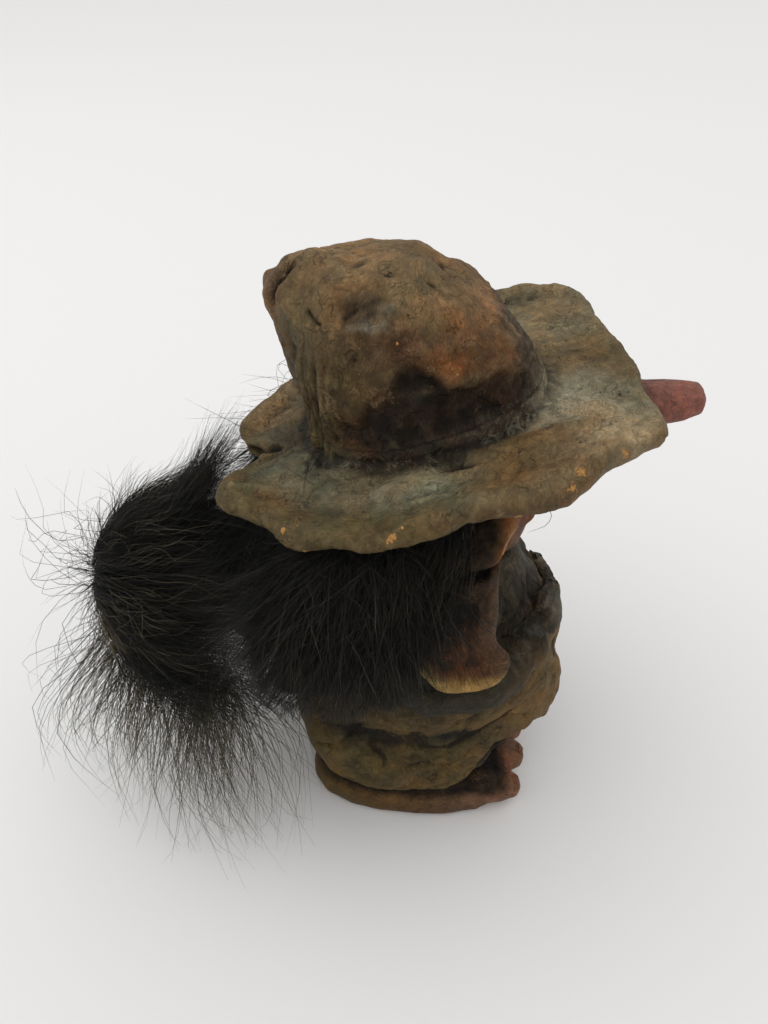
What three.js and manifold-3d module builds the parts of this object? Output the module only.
// Folk figurine of a gnome in a floppy hat: a painted casting of a stout trunk on two big bare feet,
// a head under a wide hat, a long nose, drooping ears, hair of long-pile fur, and a tail that ends
// in a fur tuft. Every casting is glued to the next over a thin gap, on dowels, pegs or a wire.
// Millimetres, +Z up. The face looks along -Y, its right hand is at -X, and the soles stand on Z = 0.
import * as THREE from "three";
import { mergeVertices } from "three/addons/utils/BufferGeometryUtils.js";
import Module from "manifold-3d";

const wasm = await Module();
wasm.setup();

// Driving dimensions
const HEIGHT = 128; // floor to the top of the hat
const LENGTH = 132; // nose tip to the end of the tail tuft
const BRIM_HEIGHT = 97; // floor to the brim, at the foot of the crown
const BRIM_THICKNESS = 3.6;
const HAT_TILT = THREE.MathUtils.degToRad(12.4); // the brim rises towards the face
const CROWN_RADIUS = 24;
const CROWN_LEAN = 8; // how far the crown's top hangs back
const CROWN_SLOPE = 0.2; // fall of the crown's top towards the face
const HEAD_HALF = new THREE.Vector3(22, 24, 27);
const HEAD_HEIGHT = 82; // floor to the middle of the head
const AXIS_Y = -9; // the head, the hat and the dowel stand on this line
const TRUNK_TOP = 69;
const TRUNK_FLOOR = 6.5; // the hem rests on the feet
const FOOT_LENGTH = 48.5;
const FOOT_WIDTH = 28;
const FOOT_SPREAD = 16; // middle of a foot from the middle of the figure
const DOWEL_RADIUS = 4;
const PEG_RADIUS = 3;
const WIRE_RADIUS = 0.8;
const GLUE_GAP = 0.35; // between two pieces that are glued together
const ARM_DROP = 4; // the left forearm lies lower on the belly than the right one

const NOSE_TIP_Y = -LENGTH / 2;
const TUFT_END_Y = LENGTH / 2;
const ACROSS = new THREE.Vector3(1, 0, 0);
const point = (x, y, z) => new THREE.Vector3(x, y, z);
const route = (...points) => new THREE.CatmullRomCurve3(points);

// The brim's rim, from the face round by the right hand: degrees, reach from the crown's axis, lift.
const BRIM_EDGE = [
  [0, 41.5, 1],
  [20, 43, 1],
  [35, 49, 0.9],
  [40, 45.2, 0.8],
  [45, 43.4, 0.4],
  [58, 43.2, -0.2],
  [70, 41.2, 0],
  [80, 39.8, 0.4],
  [90, 39.8, -0.4],
  [100, 41.8, -1.4],
  [109, 43.2, -2.2],
  [116, 42, -2],
  [126, 44.5, -2.6],
  [140, 43, -1.2],
  [152, 47.5, 0.4],
  [160, 43.5, 0.3],
  [167, 35, 0.2],
  [174, 39, 0.8],
  [188, 41, 1.6],
  [220, 38, 1],
  [255, 42, 2.5],
  [290, 46.6, 4.4],
  [305, 52, 3.4],
  [319, 49.4, 3.2],
  [326, 46.8, 2.4],
  [332, 43.6, 1.9],
  [342, 42.5, 1.5],
];

// A number that passes smoothly through [place, value] stops.
function eased(stops) {
  return (at) => {
    const next = stops.findIndex(([place]) => place >= at);
    if (next === 0) return stops[0][1];
    if (next < 0) return stops.at(-1)[1];
    const [place0, value0] = stops[next - 1];
    const [place1, value1] = stops[next];
    return THREE.MathUtils.lerp(value0, value1, THREE.MathUtils.smoothstep(at, place0, place1));
  };
}

// The rim's reach or lift at any angle, on a smooth closed curve through the stops.
function aroundBrim(column) {
  const count = BRIM_EDGE.length;
  const stop = (index) => {
    const turn = Math.floor(index / count);
    const row = BRIM_EDGE[index - turn * count];
    return { at: row[0] + 360 * turn, value: row[column] };
  };
  const slope = (index) => {
    const [before, after] = [stop(index - 1), stop(index + 1)];
    return (after.value - before.value) / (after.at - before.at);
  };
  return (degrees) => {
    const at = THREE.MathUtils.euclideanModulo(degrees, 360);
    const index = BRIM_EDGE.findLastIndex(([place]) => place <= at);
    const [from, to] = [stop(index), stop(index + 1)];
    const span = to.at - from.at;
    const t = (at - from.at) / span;
    const rise = t * t * (3 - 2 * t);
    const leave = t * (1 - t) * (1 - t) * span * slope(index);
    const arrive = t * t * (t - 1) * span * slope(index + 1);
    return THREE.MathUtils.lerp(from.value, to.value, rise) + leave + arrive;
  };
}

// One closed surface with shared points, each moved by a function.
function formed(geometry, move) {
  geometry.deleteAttribute("normal");
  geometry.deleteAttribute("uv");
  const surface = mergeVertices(geometry, 1e-4);
  const position = surface.getAttribute("position");
  const p = new THREE.Vector3();
  for (let i = 0; i < position.count; i++) {
    p.fromBufferAttribute(position, i);
    move(p);
    position.setXYZ(i, p.x, p.y, p.z);
  }
  return surface;
}

// A rounded form along a curve. halves(t) gives its half sizes along the side direction and square to it,
// and a blunt power under 1 fills its ends out.
function pod(curve, halves, { side = ACROSS, around = 12, along = 8, blunt = 0.7 } = {}) {
  return formed(new THREE.SphereGeometry(1, around, along), (p) => {
    const t = (1 - p.y) / 2;
    const ring = Math.max(Math.hypot(p.x, p.z), 1e-6);
    const fullness = Math.pow(ring, blunt) / ring;
    const normal = curve.getTangent(t).cross(side).normalize();
    const [wide, deep] = halves(t);
    const [across, out] = [p.x * wide * fullness, p.z * deep * fullness];
    p.copy(curve.getPoint(t)).addScaledVector(side, across).addScaledVector(normal, out);
  });
}

// The same form on the figure's other hand.
function mirrored(geometry) {
  const other = geometry.clone().scale(-1, 1, 1);
  const index = other.index.array;
  for (let i = 0; i < index.length; i += 3) [index[i], index[i + 1]] = [index[i + 1], index[i]];
  return other;
}

// The form with its surface moved out, as a tool that cuts a pocket with room for glue.
function grown(geometry, gap = GLUE_GAP) {
  const bigger = geometry.clone();
  bigger.computeVertexNormals();
  const [position, normal] = [bigger.getAttribute("position"), bigger.getAttribute("normal")];
  for (let i = 0; i < position.array.length; i++) position.array[i] += gap * normal.array[i];
  bigger.deleteAttribute("normal");
  return bigger;
}

function solid(geometry) {
  const vertProperties = new Float32Array(geometry.getAttribute("position").array);
  const triVerts = new Uint32Array(geometry.index.array);
  return new wasm.Manifold(new wasm.Mesh({ numProp: 3, vertProperties, triVerts }));
}

function surfaceOf(body) {
  const { vertProperties, triVerts } = body.getMesh();
  const surface = new THREE.BufferGeometry();
  surface.setAttribute("position", new THREE.BufferAttribute(vertProperties, 3));
  return surface.setIndex(new THREE.BufferAttribute(triVerts, 1));
}

const joined = (...forms) => surfaceOf(forms.map(solid).reduce((all, form) => all.add(form)));
const less = (left, tool) => left.subtract(solid(tool));
const cut = (form, ...tools) => surfaceOf(tools.reduce(less, solid(form)));
const kept = (form, region) => surfaceOf(solid(form).intersect(solid(region)));

function rod(radius, from, to) {
  const length = from.distanceTo(to);
  const turn = new THREE.Quaternion().setFromUnitVectors(point(0, 1, 0), to.clone().sub(from).normalize());
  const bar = formed(new THREE.CylinderGeometry(radius, radius, length, 16), () => {});
  return bar.applyQuaternion(turn).translate(...from.clone().lerp(to, 0.5).toArray());
}

function block(low, high) {
  const size = high.clone().sub(low);
  const box = formed(new THREE.BoxGeometry(...size.toArray()), () => {});
  return box.translate(...low.clone().lerp(high, 0.5).toArray());
}

// Swells a surface outwards from its middle, in a soft bump around one spot.
function swell(p, middle, spot, radius, height) {
  const bump = height * Math.exp(-p.distanceToSquared(spot) / (radius * radius));
  p.addScaledVector(p.clone().sub(middle).normalize(), bump);
}

// How far a rounded square reaches past the circle it is drawn round, towards (x, y).
function squareReach(x, y, power) {
  const turn = Math.atan2(y, x);
  const [across, along] = [Math.abs(Math.cos(turn)), Math.abs(Math.sin(turn))];
  return Math.pow(Math.pow(across, power) + Math.pow(along, power), -1 / power);
}

// Bare foot: a thick flat slab of a sole with a round heel, a low instep and three thick toes.
function footForm() {
  const [edge, instep, square] = [3.2, 10.5, 0.4]; // a square power under 1 steepens the slab's sides
  const toeTip = -35.5;
  const middle = toeTip + 4 + FOOT_LENGTH / 2;
  const press = (p) => p.set(p.x, p.y, Math.max(0, p.z));
  const foot = formed(new THREE.SphereGeometry(1, 20, 12).rotateX(Math.PI / 2), (p) => {
    const ring = Math.max(Math.hypot(p.x, p.y), 1e-6);
    const fullness = (squareReach(p.x, p.y, 2.6) * Math.pow(ring, square)) / ring;
    const [across, along] = [p.x * fullness, p.y * fullness];
    const halfWidth = (FOOT_WIDTH / 2) * (1 - 0.12 * along);
    const height = p.z > 0 ? instep - edge : edge * 1.8;
    p.set(-FOOT_SPREAD + across * halfWidth, middle + (along * FOOT_LENGTH) / 2, edge + p.z * height);
    press(p);
  });
  const toes = [
    [-25, 4.4, 3],
    [-16, 4.9, 1],
    [-6.6, 5.3, 0],
  ].map(([x, radius, back]) => {
    const length = route(point(x, -20 + back, 6.5), point(x, -28 + back, 5.6), point(x, toeTip + back, 3.8));
    return formed(pod(length, () => [radius, radius * 0.95], { around: 8, along: 6 }), press);
  });
  return joined(foot, ...toes);
}

// Stout trunk in a loose tunic: a heavy belly with two corners, a crease round each side of the skirt with
// a roll above it and a bulge below it, and a hem that lifts over the toes.
function trunkForm() {
  const line = route(point(0, -10, -5), point(0, -10.5, 28), point(0, -8, TRUNK_TOP));
  const wide = eased([[0, 34], [0.34, 32], [0.48, 31], [0.62, 32.5], [0.87, 25], [1, 20]]);
  const deep = eased([[0, 33], [0.34, 31.5], [0.48, 32.5], [0.62, 32.5], [0.87, 26], [1, 22]]);
  const body = pod(line, (t) => [wide(t), deep(t)], { around: 28, along: 22, blunt: 0.42 });
  const middle = point(0, -10, 30);
  const folds = [
    [30, 5, 27, 7, -2.2],
    [29, -8, 26.5, 6.5, -1.8],
    [24, -20, 26, 6, -1.4],
    [27, 3, 17, 9, 1.2],
    [23, -25, 41, 9, 1.2],
    [20, -36, 29, 9, 2.4],
    [13, -40, 35, 9, 1],
  ]; // on both hands: across, along, height, reach and how far it stands out
  const [liftStart, liftSlope] = [-15, 0.8];
  const hem = (y) => TRUNK_FLOOR + liftSlope * Math.max(0, liftStart - y);
  return formed(body, (p) => {
    const lowBack = (1 - THREE.MathUtils.smoothstep(p.z, 14, 44)) * THREE.MathUtils.smoothstep(p.y, -24, 2);
    const reach = THREE.MathUtils.lerp(1, squareReach(p.x, p.y + 10, 3.2), lowBack);
    p.set(p.x * reach, (p.y + 10) * reach - 10, p.z);
    folds.forEach(([x, y, z, radius, out]) => {
      [-x, x].forEach((across) => swell(p, middle, point(across, y, z), radius, out));
    });
    p.setZ(Math.max(p.z, hem(p.y)));
  });
}

// Sleeve of the right arm: from the shoulder down to the elbow, then forward over the chest to a cuff.
function sleeveForm(drop = 0) {
  const elbow = point(-31, -4, 50 - drop / 2);
  const forearm = point(-27, -23.5, 46 - drop);
  const line = route(point(-21, 3, 60), elbow, forearm, point(-13.5, -34.5, 47.5 - drop));
  const thick = eased([[0, 7], [0.35, 7.5], [0.7, 7], [1, 7.4]]);
  const slant = point(0.6, 0, 0.8);
  return pod(line, (t) => [thick(t), thick(t)], { side: slant, around: 10, along: 9, blunt: 0.5 });
}

// Right hand, resting on the chest: a palm and three thick fingers. A lower hand is pushed out by the belly.
function handForm(drop = 0) {
  const upright = point(0, 0, 1);
  const push = drop * 0.4;
  const back = route(point(-14, -36 - push, 48 - drop), point(-5.5, -38.7 - push, 47 - drop));
  const palm = pod(back, () => [6.2, 4], { side: upright });
  const fingers = [51.2, 47.3, 43.4].map((height) => {
    const [y, z] = [-38.1 - push, height - drop];
    const reach = route(point(-9, y, z), point(-5, y - 1.5, z - 0.4), point(-0.9, y - 1.4, z - 1));
    return pod(reach, () => [2.2, 2.2], { side: upright, around: 8, along: 5 });
  });
  return joined(palm, ...fingers);
}

// Head: a long egg with a brow, cheeks and a chin. The long nose and the ears are pieces of their own.
const HEAD_MIDDLE = point(0, AXIS_Y, HEAD_HEIGHT);
function headForm() {
  const features = [
    [point(0, -31, 95), 7, 2.2],
    [point(-11, -27, 79), 8, 2.4],
    [point(11, -27, 79), 8, 2.4],
    [point(0, -25, 64), 9, 3],
  ];
  return formed(new THREE.SphereGeometry(1, 20, 13), (p) => {
    p.multiply(HEAD_HALF).add(HEAD_MIDDLE);
    features.forEach(([spot, radius, height]) => swell(p, HEAD_MIDDLE, spot, radius, height));
  });
}

// Long nose, thick at the face, slightly waisted, with a round tip that pokes out under the brim.
function noseForm() {
  const line = route(point(0, -26, 87), point(0, -42, 94.5), point(0, NOSE_TIP_Y, 97.4));
  const thick = eased([[0, 8], [0.45, 5.6], [0.75, 4.7], [1, 5.4]]);
  return pod(line, (t) => [thick(t) * 1.08, thick(t)], { around: 12, along: 10, blunt: 0.5 });
}

// Right ear: a small fold under the brim, a waist, and a broad lobe that hangs down and scoops outward.
function earForm() {
  const line = route(
    point(-19, -20.5, 89),
    point(-29, -21, 86),
    point(-34, -18, 78),
    point(-35.5, -15.5, 66),
    point(-39, -14.5, 53.5),
  );
  const broad = eased([[0, 4.4], [0.25, 5.2], [0.45, 4.6], [0.75, 8], [0.92, 13], [1, 15]]);
  const thick = eased([[0, 3], [0.5, 2.6], [1, 2.4]]);
  return pod(line, (t) => [broad(t), thick(t)], { side: point(0, 1, 0), around: 12, along: 12, blunt: 0.55 });
}

const EYE_RADIUS = 3.4;
const EYE_SPOT = point(-10, -29.4, 89.5); // the right eye
const eyeForm = () => formed(new THREE.SphereGeometry(EYE_RADIUS, 12, 8), (p) => p.add(EYE_SPOT));

// Floppy hat: a lumpy crown that leans back and a wide wavy brim, cast in one piece. A knob stands up behind
// the crown's top, and on the right hand a dark hollow is pressed in round its foot, below a heavy brow.
// The profile counts 0 to 1 across the crown and 1 to 2 across the brim.
function hatForm() {
  const crownHeight = HEIGHT - BRIM_HEIGHT + 3.5;
  const domeRows = 7;
  const square = 0.62; // under 1 squares the crown's shoulders
  const dome = Array.from({ length: domeRows }, (_, row) => {
    const a = (row / domeRows) * (Math.PI / 2);
    return [Math.pow(Math.sin(a), square), Math.pow(Math.cos(a), square)];
  });
  const brimTop = [[1, 0.3], [1, 0.14], [1.12, 0.02], [1.5, 0], [1.94, 0], [2, -0.5]];
  const brimUnder = [[1.94, -1], [1.4, -1], [0.9, -1], [0, -1]];
  const profile = [...dome, ...brimTop, ...brimUnder].map((row) => new THREE.Vector2(...row));
  const [reach, lift] = [aroundBrim(1), aroundBrim(2)];
  const lumps = [
    [-4, 23.5, 32, 6, 3.2],
    [-3, 14, 34, 7, 1],
    [10, -14, 24, 8, 0.8],
    [8, 16, 33, 13, -2.6],
    [-20, -5, 18, 7.5, 1.8],
    [-14, -16, 16, 6.5, 2],
    [-24, -2, 6.5, 7.5, -3],
    [-19, -12, 5.5, 7, -2.8],
  ]; // across, along, height, reach and how far it stands out
  const hat = formed(new THREE.LatheGeometry(profile.reverse(), 72), (p) => {
    const [across, level] = [Math.hypot(p.x, p.z), p.y];
    const turn = Math.atan2(-p.x, p.z);
    const degrees = THREE.MathUtils.radToDeg(turn);
    const outward = Math.max(0, across - 1);
    const up = Math.max(0, level);
    const crown = Math.min(across, 1) * CROWN_RADIUS * (1 - 0.15 * up * up);
    const radius = crown + outward * (reach(degrees) - CROWN_RADIUS);
    const [x, y] = [-Math.sin(turn) * radius, -Math.cos(turn) * radius];
    const under = Math.min(0, level) * BRIM_THICKNESS;
    const hang = outward * outward * lift(degrees);
    p.set(x, y + CROWN_LEAN * Math.pow(up, 1.2), up * (crownHeight + CROWN_SLOPE * y) + under + hang);
    if (up === 0) return;
    lumps.forEach(([a, b, height, wide, out]) => swell(p, point(0, 0, 10), point(a, b, height), wide, out));
  });
  return hat.rotateX(-HAT_TILT).translate(0, AXIS_Y, BRIM_HEIGHT);
}

// Fur hair: a backing strip glued round the head below the brim, and three hanging lengths of pile.
function hairBackingForm() {
  const band = block(point(-40, -14, 76), point(40, 40, 88));
  return kept(cut(grown(head, 1.7), grown(head)), band);
}

function hairSideForm() {
  const line = route(point(-25, 1, 88), point(-35.5, 7, 70), point(-38.5, 11.5, 46));
  const broad = eased([[0, 13], [0.4, 16], [1, 15.5]]);
  return pod(line, (t) => [broad(t), 6.5], { side: point(0, 1, 0), around: 14, along: 8, blunt: 0.4 });
}

function hairBackForm() {
  const wrap = 0.012; // how fast the pile bends forward round the head
  const line = route(point(0, 15, 87), point(0, 25, 70), point(0, 28, 46));
  const broad = eased([[0, 24], [0.4, 36], [1, 34]]);
  const pile = pod(line, (t) => [broad(t), 7], { around: 18, along: 8, blunt: 0.4 });
  return formed(pile, (p) => p.setY(p.y - wrap * p.x * p.x));
}

// Tail: a rubber core on a wire that is set into the trunk, with a strip of fur wound round its end.
const TAIL_POINTS = [point(0, 15, 22), point(0, 28, 30), point(0, 40, 44), point(0, 50, 56)];
const TAIL_LINE = route(...TAIL_POINTS);
const WIRE_LINE = route(point(0, 8, 17), ...TAIL_POINTS); // it starts deeper in the trunk than the core
function tailCoreForm() {
  const thick = eased([[0, 5], [0.5, 4], [1, 3.4]]);
  return pod(TAIL_LINE, (t) => [thick(t), thick(t)], { around: 10, along: 9, blunt: 0.4 });
}

function wireForm(radius, end) {
  const ring = new THREE.Shape().absarc(0, 0, radius, 0, 2 * Math.PI);
  const bends = 6;
  const stretch = Array.from({ length: bends + 1 }, (_, bend) => WIRE_LINE.getPoint((end * bend) / bends));
  const options = { extrudePath: route(...stretch), steps: 8, curveSegments: 3 };
  return formed(new THREE.ExtrudeGeometry(ring, options), () => {});
}

function tuftBackingForm() {
  const end = new THREE.CatmullRomCurve3([0.62, 0.75, 0.88, 0.97].map((t) => TAIL_LINE.getPoint(t)));
  return pod(end, () => [5.4, 5.4], { around: 10, along: 7, blunt: 0.3 });
}

// Tuft of fur: a full round mass that flares into a pointed lock above and loose locks that hang low.
function tuftForm() {
  const middle = point(-3, 42, 55);
  const mass = formed(new THREE.SphereGeometry(1, 16, 10), (p) => {
    p.multiply(point(23, TUFT_END_Y - middle.y, 21.5)).add(middle);
  });
  const locks = [
    [8, point(-2, 47, 69), point(-2, 40, 79), point(-1, 31, 94)],
    [11, point(-12, 55, 50), point(-20, 57, 31), point(-23, 56, 6)],
    [11, point(-16, 50, 46), point(-25, 48, 28), point(-31, 43, 5)],
    [11, point(-17, 42, 44), point(-28, 37, 24), point(-37, 33, 5)],
    [9, point(-18, 34, 46), point(-30, 26, 28), point(-38, 17, 5)],
    [11, point(4, 53, 44), point(9, 56, 24), point(13, 60, 6)],
    [11, point(11, 45, 44), point(19, 42, 22), point(23, 38, 5)],
  ].map(([root, ...points]) => {
    const thick = eased([[0, root], [0.4, root * 0.75], [1, 3]]);
    return pod(route(...points), (t) => [thick(t), thick(t)], { around: 8, along: 6 });
  });
  return joined(mass, ...locks);
}

// Finishes of the painted castings, the fur and what is hidden inside
const paint = (color, roughness = 0.75) => new THREE.MeshStandardMaterial({ color, roughness, metalness: 0 });
const PAINTED_HAT = paint(0x6b5636);
const PAINTED_CLOTH = paint(0x6a5b37);
const PAINTED_SKIN = paint(0x7a4a32);
const PAINTED_NOSE = paint(0x97524a, 0.6);
const GLASS_EYE = paint(0x2a1a0c, 0.15);
const BLACK_FUR = paint(0x17140f, 0.6);
const FUR_BACKING = paint(0x24201b, 0.95);
const BARE_WOOD = paint(0xb08a5a, 0.8);
const STEEL_WIRE = new THREE.MeshStandardMaterial({ color: 0x8d8f92, roughness: 0.4, metalness: 1 });

// The forms, then the pieces cut clear of each other
const rightFoot = footForm();
const trunk = trunkForm();
const rightSleeve = sleeveForm();
const rightHand = handForm();
const head = headForm();
const nose = noseForm();
const rightEar = earForm();
const rightEye = eyeForm();
const hat = hatForm();
const tailCore = tailCoreForm();
const [leftFoot, leftEar, leftEye] = [rightFoot, rightEar, rightEye].map(mirrored);
const [leftSleeve, leftHand] = [sleeveForm(ARM_DROP), handForm(ARM_DROP)].map(mirrored);
const hairBacking = hairBackingForm();
const rightHair = hairSideForm();
const backHair = hairBackForm();
const tuftBacking = tuftBackingForm();

const dowelFoot = point(0, AXIS_Y, 32);
const dowelTop = point(0, AXIS_Y, 114);
const dowel = rod(DOWEL_RADIUS, dowelFoot, dowelTop);
const rightPeg = rod(PEG_RADIUS, point(-FOOT_SPREAD, -8, 5), point(-FOOT_SPREAD, -8, 30));
const leftPeg = mirrored(rightPeg);
const wire = wireForm(WIRE_RADIUS, 0.9);
const wireBore = wireForm(WIRE_RADIUS + GLUE_GAP, 0.92);

const figurine = new THREE.Group();
function piece(name, geometry, material) {
  const mesh = new THREE.Mesh(geometry, material);
  mesh.name = name;
  figurine.add(mesh);
}

const clear = (...forms) => forms.map((form) => grown(form));
piece("right_foot", cut(rightFoot, grown(rightPeg)), PAINTED_SKIN);
piece("left_foot", cut(leftFoot, grown(leftPeg)), PAINTED_SKIN);
piece("right_foot_peg", rightPeg, BARE_WOOD);
piece("left_foot_peg", leftPeg, BARE_WOOD);
const trunkPockets = clear(rightFoot, leftFoot, rightPeg, leftPeg, head, dowel, tailCore, wire);
piece("tunic_trunk", cut(trunk, ...trunkPockets), PAINTED_CLOTH);
piece("right_sleeve", cut(rightSleeve, ...clear(trunk, head)), PAINTED_CLOTH);
piece("left_sleeve", cut(leftSleeve, ...clear(trunk, head)), PAINTED_CLOTH);
piece("right_hand", cut(rightHand, ...clear(trunk, rightSleeve)), PAINTED_SKIN);
piece("left_hand", cut(leftHand, ...clear(trunk, leftSleeve, rightHand)), PAINTED_SKIN);
piece("neck_dowel", dowel, BARE_WOOD);
piece("head", cut(head, ...clear(dowel, nose, rightEar, leftEar, rightEye, leftEye)), PAINTED_SKIN);
piece("nose", nose, PAINTED_NOSE);
piece("right_ear", rightEar, PAINTED_SKIN);
piece("left_ear", leftEar, PAINTED_SKIN);
piece("right_eye", cut(rightEye, grown(nose)), GLASS_EYE);
piece("left_eye", cut(leftEye, grown(nose)), GLASS_EYE);
piece("hat", cut(hat, ...clear(head, dowel, rightEar, leftEar)), PAINTED_HAT);
piece("hair_backing", cut(hairBacking, ...clear(hat, rightEar, leftEar)), FUR_BACKING);
const hairRoom = clear(hat, head, trunk, rightSleeve, leftSleeve, rightEar, leftEar, hairBacking);
piece("hair_back", cut(backHair, ...hairRoom), BLACK_FUR);
piece("hair_right", cut(rightHair, ...hairRoom, grown(backHair)), BLACK_FUR);
piece("hair_left", cut(mirrored(rightHair), ...hairRoom, grown(backHair)), BLACK_FUR);
piece("tail_core", cut(tailCore, wireBore), PAINTED_CLOTH);
piece("tail_wire", wire, STEEL_WIRE);
piece("tuft_backing", cut(tuftBacking, grown(tailCore)), FUR_BACKING);
const hairs = [backHair, rightHair, mirrored(rightHair)];
const tuftRoom = clear(hat, trunk, rightFoot, leftFoot, ...hairs, tailCore, tuftBacking);
piece("tail_tuft", cut(tuftForm(), ...tuftRoom), BLACK_FUR);

export default figurine;
